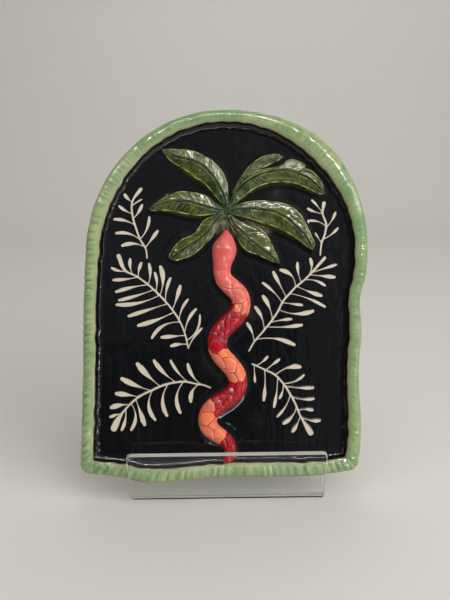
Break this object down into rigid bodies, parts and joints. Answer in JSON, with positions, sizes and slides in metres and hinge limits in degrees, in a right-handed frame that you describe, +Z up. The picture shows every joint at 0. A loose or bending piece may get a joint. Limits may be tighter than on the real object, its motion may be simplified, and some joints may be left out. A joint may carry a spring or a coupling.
{
  "type": "ceramic wall hanging",
  "caption": "Arched glazed plaque with a raised palm crown, a winding snake as its trunk and carved fronds inside a notched coil rim, leaning in a clear bent-sheet easel.",
  "frame": {"origin": "middle of the bounding box of the whole part, on the table under the easel's feet", "axes": "+Z up, +X to the right as one faces the plaque, the decorated face looks towards -Y and leans back 18 degrees"},
  "size_m": [0.2032, 0.1216, 0.2629],
  "materials": {
    "black_glaze": "glossy black glaze over brushed slip, on the recessed field",
    "rim_glaze": "glossy celadon green glaze, paler where it runs thin over the coil's notches",
    "leaf_glaze": "glossy olive glaze, pooled dark in the veins and thin and yellow at the edges",
    "snake_glaze": "glossy coral, red and orange bands over carved scales, with a pink head",
    "bare_clay": "pale buff clay, bare in the carved fronds and on the back",
    "clear_plastic": "clear polished sheet with frosted cut edges"
  },
  "bodies": {
    "root": {"plaque": "black_glaze", "easel": "clear_plastic"}
  },
  "joints": []
}
